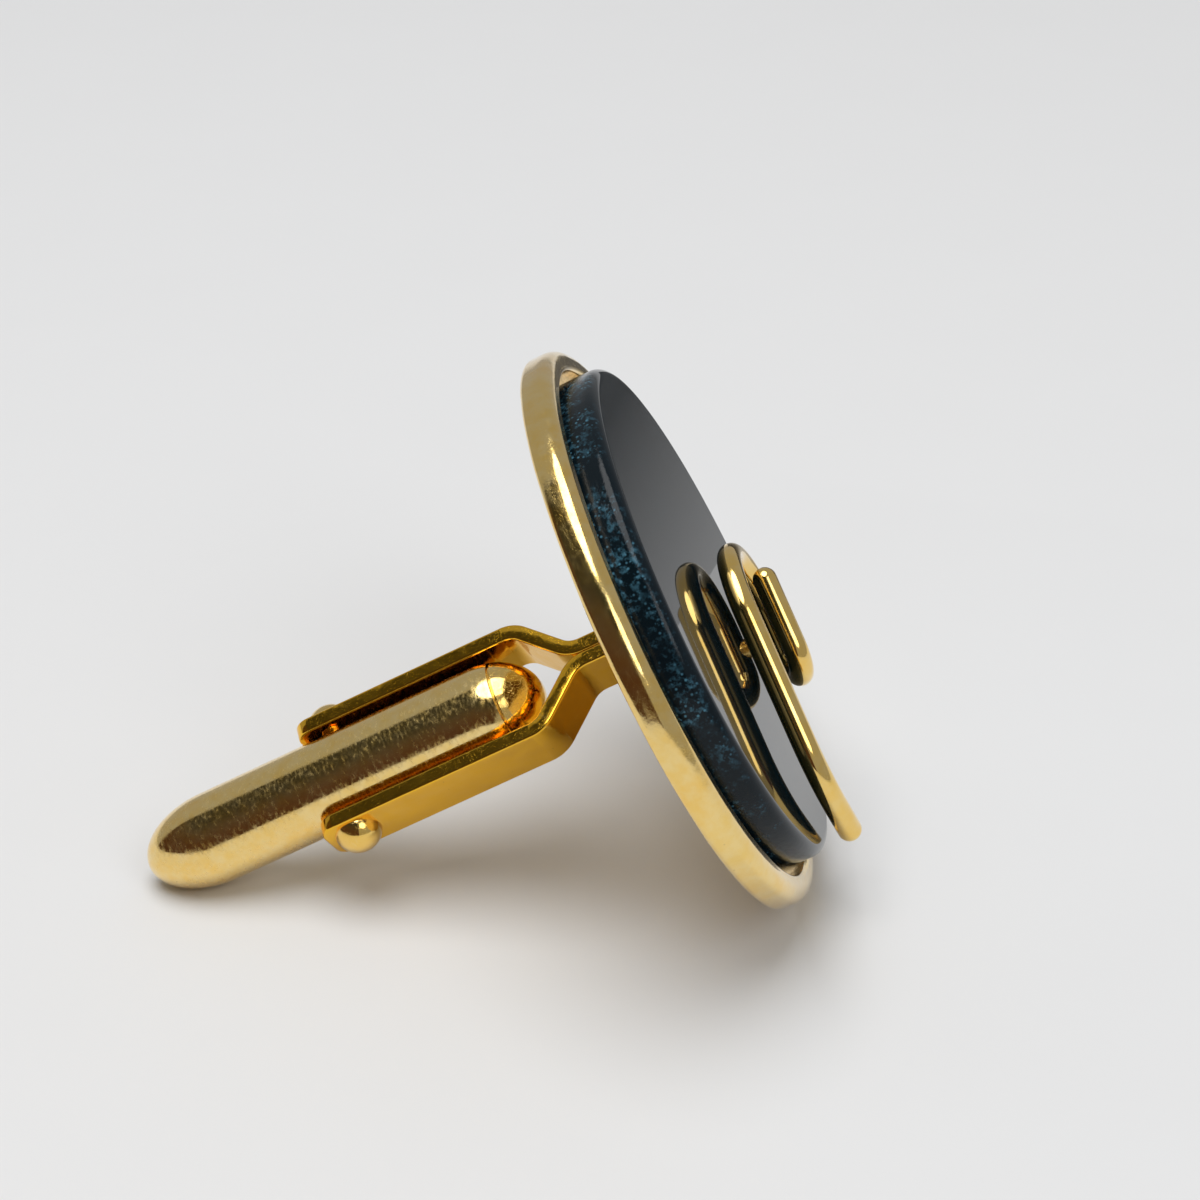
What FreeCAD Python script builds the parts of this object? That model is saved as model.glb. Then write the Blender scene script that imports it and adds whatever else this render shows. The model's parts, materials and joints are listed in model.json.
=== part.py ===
"""Round cufflink with a swinging bullet toggle, lying at rest on its rim and the toggle's tip.

The pieces are drawn about the post: the post's axis is Z, the dish's flat back is at Z = 0 with
the stone on its +Z side, and the toggle's pivot pin lies along X. One placement then lays the
finished cufflink on the ground, Z up, with the middle of its base at the origin. Millimetres.
"""
import FreeCAD, Part
import math
import os

from FreeCAD import Placement, Rotation, Vector

# Dish with a rounded rim
FACE_RADIUS = 11.0
RIM_WIDTH = 0.95
RIM_THICKNESS = 1.25
RIM_BACK_ROUND = 0.25
RIM_FRONT_ROUND = 0.55
LIP_ROUND = 0.2
FLOOR_THICKNESS = 0.6

# Polished stone and the cement under it
STONE_THICKNESS = 1.68
STONE_BEVEL = 0.28
STONE_GAP = 0.35
CEMENT_THICKNESS = 0.12
CEMENT_INSET = 0.3

# Wire scroll over the stone. U runs down the tail and V square to it, both from the stone's centre
WIRE_DIAMETER = 0.92
WIRE_LIFT = 0.41
SCROLL_TURN = 27.0
CROOK_RADIUS = 2.55
CROOK_U = 0.75
RUN_V = 0.35
FAR_RUN = 1.35
CURL_RADIUS = 1.1
CURL_TILT = 18.5
INNER_RUN = 2.6
TAIL_BEND_INSET = 2.25
TAIL_BEND_RADIUS = 3.6
TAIL_EDGE_ANGLE = 15.0
TAIL_OVERHANG = 0.25
TAIL_GAP = 0.32
PEG_DIAMETER = 0.8
PEG_CLEARANCE = 0.05

# Forked post, two bent strips with their feet side by side
STRIP_THICKNESS = 0.6
STRIP_WIDTH = 2.2
STRIP_EDGE_ROUND = 0.1
STEM_LENGTH = 2.64
FORK_BEND_ANGLE = 45.0
FORK_BEND_RADIUS = 1.1
LEG_END = 1.2
LEG_CORNER = 0.7

# Bullet toggle. Its domed ends are longer than they are wide, and the cap is part of the inner dome
TOGGLE_DIAMETER = 3.5
TOGGLE_LENGTH = 16.68
TIP_STRETCH = 1.66
NOSE_STRETCH = 1.37
CAP_SHARE = 0.625
TOGGLE_WALL = 0.35
TOGGLE_SIDE_CLEARANCE = 0.1
NOSE_REACH = 0.72
SPIGOT_LENGTH = 1.0
SPIGOT_CLEARANCE = 0.02
SEAM_BEVEL = 0.06

# Pivot pin with riveted heads and a squared middle
PIN_DIAMETER = 1.0
PIN_FLATS = 0.75
PIN_HEAD_DIAMETER = 1.8
PIN_HEAD_HEIGHT = 0.72
PIN_RUNNING_CLEARANCE = 0.03
PIN_SEAT_CLEARANCE = 0.01
FLATS_END_CLEARANCE = 0.15

# Hairpin leaf that grips the pin's flats
SPRING_THICKNESS = 0.18
SPRING_WIDTH = 1.5
SPRING_GAP = 0.02
SPRING_SEAT_GAP = 0.1
SPRING_TOP_GAP = 1.1

# How it lies: the pin slopes down by this much from level, and the lean is settled in rounds
PIN_SLOPE = 28.0
SETTLING_ROUNDS = 30

# Worked out from the sizes above
LIP_RADIUS = FACE_RADIUS - RIM_WIDTH
STONE_RADIUS = LIP_RADIUS - STONE_GAP
FLAT_RADIUS = STONE_RADIUS - STONE_BEVEL
STONE_BASE = FLOOR_THICKNESS + CEMENT_THICKNESS
STONE_FACE = STONE_BASE + STONE_THICKNESS
WIRE_RADIUS = WIRE_DIAMETER / 2
WIRE_LEVEL = STONE_FACE + WIRE_LIFT + WIRE_RADIUS
FAR_V = RUN_V + 2 * CROOK_RADIUS
PEG_U = CROOK_U + FAR_RUN / 2
TOGGLE_RADIUS = TOGGLE_DIAMETER / 2
TIP_LENGTH = TOGGLE_RADIUS * TIP_STRETCH
NOSE_LENGTH = TOGGLE_RADIUS * NOSE_STRETCH
CAP_LENGTH = NOSE_LENGTH * CAP_SHARE
BORE_RADIUS = TOGGLE_RADIUS - TOGGLE_WALL
FORK_BEND = math.radians(FORK_BEND_ANGLE)
LEG_INNER = TOGGLE_RADIUS + TOGGLE_SIDE_CLEARANCE
LEG_OUTER = LEG_INNER + STRIP_THICKNESS
FLARE_SLOPE = (LEG_INNER - 2 * FORK_BEND_RADIUS * (1 - math.cos(FORK_BEND))) / math.sin(FORK_BEND)
FLARE_LENGTH = 2 * FORK_BEND_RADIUS * math.sin(FORK_BEND) + FLARE_SLOPE * math.cos(FORK_BEND)
NOSE_Z = -(STEM_LENGTH + FLARE_LENGTH - NOSE_REACH)
PIN_Z = NOSE_Z - TOGGLE_LENGTH / 2
TIP_CENTRE_Z = NOSE_Z - TOGGLE_LENGTH + TIP_LENGTH
NOSE_CENTRE_Z = NOSE_Z - NOSE_LENGTH
SEAM_Z = NOSE_Z - CAP_LENGTH
LEG_END_Z = PIN_Z - LEG_END

AXIS_X = Vector(1, 0, 0)
AXIS_Y = Vector(0, 1, 0)
AXIS_Z = Vector(0, 0, 1)


def line(start, end):
    """A straight edge."""
    return Part.LineSegment(start, end).toShape()


def arc(start, middle, end):
    """A round edge through three points."""
    return Part.Arc(start, middle, end).toShape()


def disc(radius, bottom, top):
    """A round block about the post's axis."""
    return Part.makeCylinder(radius, top - bottom, Vector(0, 0, bottom))


def same(first, second):
    """Whether two lengths are equal, apart from rounding."""
    return math.isclose(first, second, abs_tol=1e-6)


def ring_edges(solid, radius, height):
    """The round edges of a solid that have this radius and height about the post's axis."""
    found = []
    for edge in solid.Edges:
        curve = edge.Curve
        if not isinstance(curve, Part.Circle):
            continue
        if same(curve.Radius, radius) and same(curve.Center.z, height):
            found.append(edge)
    return found


def dome(centre, reach, radius, start, end):
    """Part of a domed outline in the XZ plane, between two angles from the dome's end."""
    shape = Part.Ellipse(Vector(0, 0, centre + reach), Vector(radius, 0, centre), Vector(0, 0, centre))
    return Part.ArcOfEllipse(shape, start, end).toShape()


def spin(edges):
    """A solid of revolution about the post's axis, from a closed outline in the XZ plane."""
    face = Part.Face(Part.Wire(Part.__sortEdges__(edges)))
    return face.revolve(Vector(), AXIS_Z, 360)


def on_face(u, v, height):
    """A point over the stone, from its place along and across the scroll's tail."""
    turn = Rotation(AXIS_Z, SCROLL_TURN)
    return turn.multVec(Vector(u, v, height))


def back_plate():
    """Shallow dish whose thick rounded rim stands round the stone."""
    front_round = min(RIM_FRONT_ROUND, RIM_WIDTH - LIP_ROUND, RIM_THICKNESS - RIM_BACK_ROUND)
    dish = disc(FACE_RADIUS, 0, RIM_THICKNESS).cut(disc(LIP_RADIUS, FLOOR_THICKNESS, RIM_THICKNESS))
    dish = dish.makeFillet(RIM_BACK_ROUND, ring_edges(dish, FACE_RADIUS, 0))
    dish = dish.makeFillet(front_round, ring_edges(dish, FACE_RADIUS, RIM_THICKNESS))
    return dish.makeFillet(LIP_ROUND, ring_edges(dish, LIP_RADIUS, RIM_THICKNESS))


def peg_hole(bottom, top):
    """The drilled hole that the scroll's peg passes through."""
    radius = PEG_DIAMETER / 2 + PEG_CLEARANCE
    return Part.makeCylinder(radius, top - bottom, on_face(PEG_U, FAR_V, bottom))


def stone_cement():
    """Thin bed of cement between the dish and the stone."""
    bed = disc(STONE_RADIUS - CEMENT_INSET, FLOOR_THICKNESS, STONE_BASE)
    return bed.cut(peg_hole(FLOOR_THICKNESS, STONE_BASE))


def stone():
    """Flat round stone, bevelled round its face and drilled for the scroll's peg."""
    blank = disc(STONE_RADIUS, STONE_BASE, STONE_FACE)
    blank = blank.makeChamfer(STONE_BEVEL, ring_edges(blank, STONE_RADIUS, STONE_FACE))
    return blank.cut(peg_hole(STONE_BASE, STONE_FACE))


def scroll_route():
    """The scroll wire's centre line, from the tail's tip round the crook to the end of the inner run.

    The curl between the far run and the inner run is a half circle that climbs as it turns back.
    """
    edge_turn = math.radians(TAIL_EDGE_ANGLE)
    over_edge = on_face(FLAT_RADIUS * math.cos(edge_turn), FLAT_RADIUS * math.sin(edge_turn),
                        STONE_FACE + WIRE_RADIUS + TAIL_GAP)
    bend = on_face(FLAT_RADIUS - TAIL_BEND_INSET, RUN_V, WIRE_LEVEL)
    crook_start = on_face(CROOK_U, RUN_V, WIRE_LEVEL)
    crook_top = on_face(CROOK_U - CROOK_RADIUS, RUN_V + CROOK_RADIUS, WIRE_LEVEL)
    crook_finish = on_face(CROOK_U, FAR_V, WIRE_LEVEL)

    tilt = math.radians(CURL_TILT)
    climb = on_face(0, -CURL_RADIUS * math.cos(tilt), CURL_RADIUS * math.sin(tilt))
    curl_start = on_face(CROOK_U + FAR_RUN, FAR_V, WIRE_LEVEL)
    curl_middle = curl_start + climb + on_face(CURL_RADIUS, 0, 0)
    curl_finish = curl_start + climb * 2
    end = curl_finish - on_face(INNER_RUN, 0, 0)

    to_tip = (over_edge - bend).normalize()
    to_crook = (crook_start - bend).normalize()
    tip = over_edge + to_tip * TAIL_OVERHANG
    half_turn = (math.pi - to_tip.getAngle(to_crook)) / 2
    tangent = TAIL_BEND_RADIUS * math.tan(half_turn)
    bend_in = bend + to_tip * tangent
    bend_out = bend + to_crook * tangent
    inward = (to_tip + to_crook).normalize()
    bend_middle = bend + inward * (TAIL_BEND_RADIUS / math.cos(half_turn) - TAIL_BEND_RADIUS)
    return [
        line(tip, bend_in),
        arc(bend_in, bend_middle, bend_out),
        line(bend_out, crook_start),
        arc(crook_start, crook_top, crook_finish),
        line(crook_finish, curl_start),
        arc(curl_start, curl_middle, curl_finish),
        line(curl_finish, end),
    ]


def scroll_wire():
    """Round wire bent into a crook with a long tail and a curl inside it, both ends rounded."""
    route = scroll_route()
    tip = route[0].valueAt(route[0].FirstParameter)
    tip_way = route[0].tangentAt(route[0].FirstParameter)
    end = route[-1].valueAt(route[-1].LastParameter)
    end_way = route[-1].tangentAt(route[-1].LastParameter)
    section = Part.Wire(Part.makeCircle(WIRE_RADIUS, tip, tip_way))
    rod = Part.Wire(route).makePipeShell([section], True, False)
    tip_dome = Part.makeSphere(WIRE_RADIUS, tip, tip_way * -1, 0, 90, 360)
    end_dome = Part.makeSphere(WIRE_RADIUS, end, end_way, 0, 90, 360)
    return rod.fuse([tip_dome, end_dome]).removeSplitter()


def scroll_peg(wire):
    """Peg from the dish, through the stone, to a saddle under the wire's far run."""
    length = WIRE_LEVEL - FLOOR_THICKNESS
    peg = Part.makeCylinder(PEG_DIAMETER / 2, length, on_face(PEG_U, FAR_V, FLOOR_THICKNESS))
    return peg.cut(wire)


def leg_side(offset):
    """One long side of the leg's ribbon, at this distance outside its middle line, foot first."""
    foot_x = STRIP_THICKNESS / 2
    leg_x = LEG_INNER + STRIP_THICKNESS / 2
    stem_z = -STEM_LENGTH
    flare_z = -(STEM_LENGTH + FLARE_LENGTH)
    first_radius = FORK_BEND_RADIUS - offset
    second_radius = FORK_BEND_RADIUS + offset

    def first_bend(angle):
        across = foot_x + FORK_BEND_RADIUS - first_radius * math.cos(angle)
        return Vector(across, 0, stem_z - first_radius * math.sin(angle))

    def second_bend(angle):
        across = leg_x - FORK_BEND_RADIUS + second_radius * math.cos(angle)
        return Vector(across, 0, flare_z + second_radius * math.sin(angle))

    foot = Vector(foot_x + offset, 0, 0)
    end = Vector(leg_x + offset, 0, LEG_END_Z)
    return [
        line(foot, first_bend(0)),
        arc(first_bend(0), first_bend(FORK_BEND / 2), first_bend(FORK_BEND)),
        line(first_bend(FORK_BEND), second_bend(FORK_BEND)),
        arc(second_bend(FORK_BEND), second_bend(FORK_BEND / 2), second_bend(0)),
        line(second_bend(0), end),
    ]


def leg_outline():
    """The leg seen along the pin: a straight strip with rounded corners at its free end."""
    half = STRIP_WIDTH / 2
    corner = min(LEG_CORNER, half, LEG_END)
    shift = corner * (1 - math.sqrt(0.5))
    top = STRIP_THICKNESS
    bottom = LEG_END_Z
    edges = [
        line(Vector(0, -half, top), Vector(0, half, top)),
        line(Vector(0, half, top), Vector(0, half, bottom + corner)),
        arc(Vector(0, half, bottom + corner), Vector(0, half - shift, bottom + shift),
            Vector(0, half - corner, bottom)),
        line(Vector(0, half - corner, bottom), Vector(0, corner - half, bottom)),
        arc(Vector(0, corner - half, bottom), Vector(0, shift - half, bottom + shift),
            Vector(0, -half, bottom + corner)),
        line(Vector(0, -half, bottom + corner), Vector(0, -half, top)),
    ]
    return Part.Face(Part.Wire(edges)).extrude(AXIS_X * (2 * LEG_OUTER))


def leg_rims(leg):
    """The long edges round a leg's two broad faces, without its foot and its bend lines."""
    found = []
    for edge in leg.Edges:
        box = edge.BoundBox
        lengthwise = same(box.YLength, 0)
        across_width = box.ZMin > PIN_Z and not lengthwise
        through_thickness = same(box.ZLength, 0) and lengthwise
        if not across_width and not through_thickness:
            found.append(edge)
    return found


def fork_leg():
    """One bent strip of the fork, on the pin's +X side, drilled for the pin."""
    inner = leg_side(-STRIP_THICKNESS / 2)
    outer = leg_side(STRIP_THICKNESS / 2)
    foot = line(inner[0].valueAt(inner[0].FirstParameter), outer[0].valueAt(outer[0].FirstParameter))
    end = line(inner[-1].valueAt(inner[-1].LastParameter), outer[-1].valueAt(outer[-1].LastParameter))
    outline = Part.Wire(Part.__sortEdges__(inner + [end] + outer + [foot]))
    ribbon = Part.Face(outline).extrude(AXIS_Y * STRIP_WIDTH)
    ribbon.translate(AXIS_Y * (-STRIP_WIDTH / 2))
    leg = ribbon.common(leg_outline())
    leg = leg.makeFillet(STRIP_EDGE_ROUND, leg_rims(leg))
    hole = PIN_DIAMETER / 2 + PIN_SEAT_CLEARANCE
    return leg.cut(Part.makeCylinder(hole, 2 * LEG_OUTER, Vector(0, 0, PIN_Z), AXIS_X))


def pin_head():
    """Domed rivet head on the +X leg's outer face."""
    radius = PIN_HEAD_DIAMETER / 2
    ball = (radius ** 2 + PIN_HEAD_HEIGHT ** 2) / (2 * PIN_HEAD_HEIGHT)
    centre = Vector(LEG_OUTER + PIN_HEAD_HEIGHT - ball, 0, PIN_Z)
    keep = Part.makeCylinder(PIN_HEAD_DIAMETER, PIN_HEAD_HEIGHT, Vector(LEG_OUTER, 0, PIN_Z), AXIS_X)
    return Part.makeSphere(ball, centre).common(keep)


def pivot_pin():
    """Pin through both legs, riveted over outside them and squared inside the toggle."""
    radius = PIN_DIAMETER / 2
    flats_length = 2 * (BORE_RADIUS - FLATS_END_CLEARANCE)
    shaft = Part.makeCylinder(radius, 2 * LEG_OUTER, Vector(-LEG_OUTER, 0, PIN_Z), AXIS_X)
    sleeve = Part.makeBox(flats_length, PIN_DIAMETER * 2, PIN_DIAMETER * 2)
    sleeve.translate(Vector(-flats_length / 2, -PIN_DIAMETER, PIN_Z - PIN_DIAMETER))
    square = Part.makeBox(flats_length, PIN_FLATS, PIN_FLATS)
    square.translate(Vector(-flats_length / 2, -PIN_FLATS / 2, PIN_Z - PIN_FLATS / 2))
    shaft = shaft.cut(sleeve.cut(square))
    head = pin_head()
    other_head = head.copy()
    other_head.rotate(Vector(), AXIS_Z, 180)
    return shaft.fuse([head, other_head]).removeSplitter()


def seam_angle(height):
    """The angle from the nose at which the inner dome passes this height."""
    return math.acos((height - NOSE_CENTRE_Z) / NOSE_LENGTH)


def seam_radius(height):
    """The inner dome's radius at this height."""
    return TOGGLE_RADIUS * math.sin(seam_angle(height))


def toggle_tube():
    """Hollow bullet body, closed by its own dome at the tip and open at the seam."""
    square = math.pi / 2
    bevel_foot = SEAM_Z - SEAM_BEVEL
    tip = Vector(0, 0, TIP_CENTRE_Z - TIP_LENGTH)
    tip_side = Vector(TOGGLE_RADIUS, 0, TIP_CENTRE_Z)
    shoulder = Vector(TOGGLE_RADIUS, 0, NOSE_CENTRE_Z)
    seam_side = Vector(seam_radius(bevel_foot), 0, bevel_foot)
    seam_face = Vector(seam_radius(SEAM_Z) - SEAM_BEVEL, 0, SEAM_Z)
    seam_bore = Vector(BORE_RADIUS, 0, SEAM_Z)
    bore_side = Vector(BORE_RADIUS, 0, TIP_CENTRE_Z)
    bore_end = Vector(0, 0, TIP_CENTRE_Z - TIP_LENGTH + TOGGLE_WALL)
    body = spin([
        dome(TIP_CENTRE_Z, -TIP_LENGTH, TOGGLE_RADIUS, 0, square),
        line(tip_side, shoulder),
        dome(NOSE_CENTRE_Z, NOSE_LENGTH, TOGGLE_RADIUS, seam_angle(bevel_foot), square),
        line(seam_side, seam_face),
        line(seam_face, seam_bore),
        line(seam_bore, bore_side),
        dome(TIP_CENTRE_Z, TOGGLE_WALL - TIP_LENGTH, BORE_RADIUS, 0, square),
        line(bore_end, tip),
    ])
    hole = PIN_DIAMETER / 2 + PIN_RUNNING_CLEARANCE
    return body.cut(Part.makeCylinder(hole, 2 * LEG_OUTER, Vector(-LEG_OUTER, 0, PIN_Z), AXIS_X))


def toggle_cap():
    """Domed plug that closes the toggle's inner end."""
    spigot = BORE_RADIUS - SPIGOT_CLEARANCE
    bevel_top = SEAM_Z + SEAM_BEVEL
    nose = Vector(0, 0, NOSE_Z)
    seam_side = Vector(seam_radius(bevel_top), 0, bevel_top)
    seam_face = Vector(seam_radius(SEAM_Z) - SEAM_BEVEL, 0, SEAM_Z)
    spigot_top = Vector(spigot, 0, SEAM_Z)
    spigot_end = Vector(spigot, 0, SEAM_Z - SPIGOT_LENGTH)
    spigot_middle = Vector(0, 0, SEAM_Z - SPIGOT_LENGTH)
    return spin([
        dome(NOSE_CENTRE_Z, NOSE_LENGTH, TOGGLE_RADIUS, 0, seam_angle(bevel_top)),
        line(seam_side, seam_face),
        line(seam_face, spigot_top),
        line(spigot_top, spigot_end),
        line(spigot_end, spigot_middle),
        line(spigot_middle, nose),
    ])


def detent_spring():
    """Hairpin leaf in the toggle: its bend sits in the tip's dome, its arms lie on the pin's flats."""
    inside = PIN_FLATS / 2 + SPRING_GAP
    outside = inside + SPRING_THICKNESS
    corner = math.asin(SPRING_WIDTH / 2 / BORE_RADIUS)
    dome_depth = (TIP_LENGTH - TOGGLE_WALL) * math.cos(corner)
    bend_z = TIP_CENTRE_Z - dome_depth + SPRING_SEAT_GAP + outside
    top = SEAM_Z - SPIGOT_LENGTH - SPRING_TOP_GAP
    edges = [
        line(Vector(0, outside, top), Vector(0, outside, bend_z)),
        arc(Vector(0, outside, bend_z), Vector(0, 0, bend_z - outside), Vector(0, -outside, bend_z)),
        line(Vector(0, -outside, bend_z), Vector(0, -outside, top)),
        line(Vector(0, -outside, top), Vector(0, -inside, top)),
        line(Vector(0, -inside, top), Vector(0, -inside, bend_z)),
        arc(Vector(0, -inside, bend_z), Vector(0, 0, bend_z - inside), Vector(0, inside, bend_z)),
        line(Vector(0, inside, bend_z), Vector(0, inside, top)),
        line(Vector(0, inside, top), Vector(0, outside, top)),
    ]
    leaf = Part.Face(Part.Wire(edges)).extrude(AXIS_X * SPRING_WIDTH)
    leaf.translate(AXIS_X * (-SPRING_WIDTH / 2))
    return leaf


def tip_depth(lean):
    """How far the tip's dome reaches below its own centre when the post leans this much."""
    return math.hypot(TOGGLE_RADIUS * math.cos(lean), TIP_LENGTH * math.sin(lean))


def resting_lean():
    """The post's angle above level when the rim's back edge and the toggle's tip are on the ground."""
    reach = RIM_BACK_ROUND - TIP_CENTRE_Z
    rise = FACE_RADIUS - RIM_BACK_ROUND
    lean = 0.0
    for _ in range(SETTLING_ROUNDS):
        drop = RIM_BACK_ROUND - tip_depth(lean)
        lean = math.asin(drop / math.hypot(reach, rise)) + math.atan2(rise, reach)
    return lean


def resting_pose(pieces):
    """The placement that lays the cufflink on the back edge of its rim and the toggle's tip."""
    lean = resting_lean()
    level = tip_depth(lean) - TIP_CENTRE_Z * math.sin(lean)
    tilt = Rotation(AXIS_Y, 90 - math.degrees(lean))
    roll = Rotation(AXIS_Z, PIN_SLOPE - 90)
    pose = Placement(Vector(0, 0, level), tilt.multiply(roll))
    whole = Part.makeCompound(pieces)
    whole.Placement = pose
    box = whole.optimalBoundingBox(False)
    middle = Vector((box.XMin + box.XMax) / 2, (box.YMin + box.YMax) / 2, 0)
    return Placement(pose.Base - middle, pose.Rotation)


def main():
    """Make every piece, lay the cufflink down and write one file for each piece."""
    wire = scroll_wire()
    leg = fork_leg()
    other_leg = leg.copy()
    other_leg.rotate(Vector(), AXIS_Z, 180)
    pieces = {
        "back_plate": back_plate(),
        "stone_cement": stone_cement(),
        "stone": stone(),
        "scroll_wire": wire,
        "scroll_peg": scroll_peg(wire),
        "lower_leg": leg,
        "upper_leg": other_leg,
        "pivot_pin": pivot_pin(),
        "toggle_tube": toggle_tube(),
        "toggle_cap": toggle_cap(),
        "detent_spring": detent_spring(),
    }
    pose = resting_pose(list(pieces.values()))
    os.makedirs("parts", exist_ok=True)
    for name, shape in pieces.items():
        solid = shape.copy()
        solid.Placement = pose.multiply(solid.Placement)
        solid.exportStep(f"parts/{name}.step")
        print(name, "solids", len(solid.Solids), "valid", solid.isValid(), "volume", round(solid.Volume, 3))
    print("pin centre", pose.multVec(Vector(0, 0, PIN_Z)))
    print("pin axis", pose.Rotation.multVec(AXIS_X))
    print("post axis", pose.Rotation.multVec(AXIS_Z))
    print("post foot", pose.multVec(Vector()))


main()
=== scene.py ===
"""Finished surfaces of a round gold-tone cufflink with a stone face, a wire scroll and a bullet toggle.

Every piece is drawn about the post: Z is the post's axis, with the dish's back at Z = 0 and the stone
on its +Z side, and X is the axis of the toggle's pin. The frame's own joint and mount say where that
lies, so nothing is placed by eye. Lengths are metres, and textures are scaled per millimetre.
"""
import json
import math

import bmesh
import bpy
from bpy.props import FloatProperty, FloatVectorProperty, PointerProperty
from mathutils import Matrix, Vector, noise


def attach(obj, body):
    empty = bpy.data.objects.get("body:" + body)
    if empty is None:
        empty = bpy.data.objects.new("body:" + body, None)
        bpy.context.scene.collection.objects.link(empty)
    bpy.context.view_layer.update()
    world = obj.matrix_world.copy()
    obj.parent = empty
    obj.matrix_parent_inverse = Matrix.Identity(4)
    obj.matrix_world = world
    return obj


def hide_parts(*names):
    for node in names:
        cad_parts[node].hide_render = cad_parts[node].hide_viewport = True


bl_info = {
    "name": "Cufflink with bullet toggle",
    "version": (1, 0, 0),
    "blender": (4, 5, 0),
    "location": "View3D > Sidebar > Cufflink",
    "description": "Dresses a cufflink's frame with its gold-tone, stone and steel pieces",
    "category": "Add Mesh",
}

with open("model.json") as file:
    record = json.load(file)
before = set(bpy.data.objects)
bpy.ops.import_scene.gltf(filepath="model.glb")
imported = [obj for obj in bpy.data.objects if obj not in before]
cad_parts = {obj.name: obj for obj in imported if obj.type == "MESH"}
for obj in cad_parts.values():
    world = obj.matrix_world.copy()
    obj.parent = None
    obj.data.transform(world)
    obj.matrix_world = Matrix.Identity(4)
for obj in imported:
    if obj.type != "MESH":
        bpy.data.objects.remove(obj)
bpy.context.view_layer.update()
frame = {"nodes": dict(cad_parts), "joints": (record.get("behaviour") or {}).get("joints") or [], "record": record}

MM = 0.001

# Where the frame says that the post and the pin lie
SWING = frame["joints"][0]
POST = frame["record"]["mounts"][0]
POST_FOOT = Vector(POST["pos_m"])
FACE_WAY = -Vector(POST["axis"]).normalized()
PIN_POINT = Vector(SWING["pos_m"])
PIN_WAY = Vector(SWING["axis"]).normalized()
PIN_LEVEL = (PIN_POINT - POST_FOOT).dot(FACE_WAY)

# How finely the pieces are divided
LATHE_STEPS = 384
TUBE_STEPS = 128
PIN_STEPS = 80
CROOK_STEPS = 48
DRILL_STEPS = 48
WIRE_STEPS = 40
CURL_STEPS = 32
BEND_STEPS = 16
LEG_END_STEPS = 12
ROUND_STEPS = 8
DISH_BACK_STEPS = 6
LEG_EDGE_STEPS = 6
CORNER_STEPS = 4
RIM_STEPS = 3
SMOOTH_ANGLE = math.radians(35)

# Plain numbers of the finishes
COAT_ROUGHNESS = 0.04
COAT_IOR = 1.5
STONE_IOR = 1.29
STONE_RELIEF = 0.012 * MM

# Plain numbers of the stage
FLOOR_RADIUS = 3.0
FLOOR_STEPS = 64
FLOOR_SHADE = 0.985
FLOOR_ROUGHNESS = 0.7
SCREEN_STEPS = 48
SCREEN_FADE_LOW = 0.10
SCREEN_FADE_HIGH = 0.45
CLOTH_ROUGHNESS = 0.9
# The flag is a dark sheet that only reflections see: it paints a darker reflection on the stone's face
FLAG_COLOUR = (0.02, 0.02, 0.02)
FLAG_COVER_LOW = 0.42
FLAG_COVER_HIGH = 0.88
FLAG_FADE = 0.6
SENSOR_WIDTH = 36
CLIP_START = 0.005
CLIP_END = 10


# What a user may change

def number(name, description, default, **kind):
    """A number, with its unit or subtype."""
    return FloatProperty(name=name, description=description, default=default, **kind)


def length(name, description, millimetres):
    """A size."""
    return number(name, description, millimetres * MM, unit="LENGTH", precision=6)


def turn(name, description, degrees):
    """An angle."""
    return number(name, description, math.radians(degrees), subtype="ANGLE")


def row(name, description, default, **kind):
    """A row of numbers, with its subtype."""
    return FloatVectorProperty(
        name=name, description=description, default=default, size=len(default), **kind)


def place(name, description, *millimetres):
    """A position on the stage."""
    metres = [value * MM for value in millimetres]
    return row(name, description, metres, subtype="TRANSLATION", unit="LENGTH")


def colour(name, description, *rgb):
    """A colour."""
    return row(name, description, rgb, min=0, max=1, subtype="COLOR")


class DishSettings(bpy.types.PropertyGroup):
    """Sizes of the dish that holds the stone."""

    radius: length("Radius", "Outside radius of the rim", 11.0)
    rim_width: length("Rim width", "Width of the rim seen from the front", 0.95)
    thickness: length("Thickness", "Height of the rim over the flat back", 1.25)
    back_round: length("Back round", "Rounding of the rim's back edge", 0.25)
    front_round: length("Front round", "Rounding of the rim's front edge", 0.55)
    lip_round: length("Lip round", "Rounding of the edge beside the stone", 0.2)
    floor: length("Floor", "Thickness of the dish under the stone", 0.6)
    unevenness: length("Unevenness", "How far the hand polish dips into the rim", 0.03)
    dip_size: length("Dip size", "Width of a dip in the rim", 2.2)


class StoneSettings(bpy.types.PropertyGroup):
    """Sizes of the stone."""

    gap: length("Gap", "Gap between the stone and the rim", 0.35)
    bed: length("Bed", "Thickness of the cement under the stone", 0.12)
    thickness: length("Thickness", "Thickness of the stone", 1.68)
    bevel: length("Bevel", "Width of the bevel round the face, which is polished round", 0.28)
    edge_round: length("Edge round", "Softness of the stone's bottom edge", 0.05)


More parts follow.
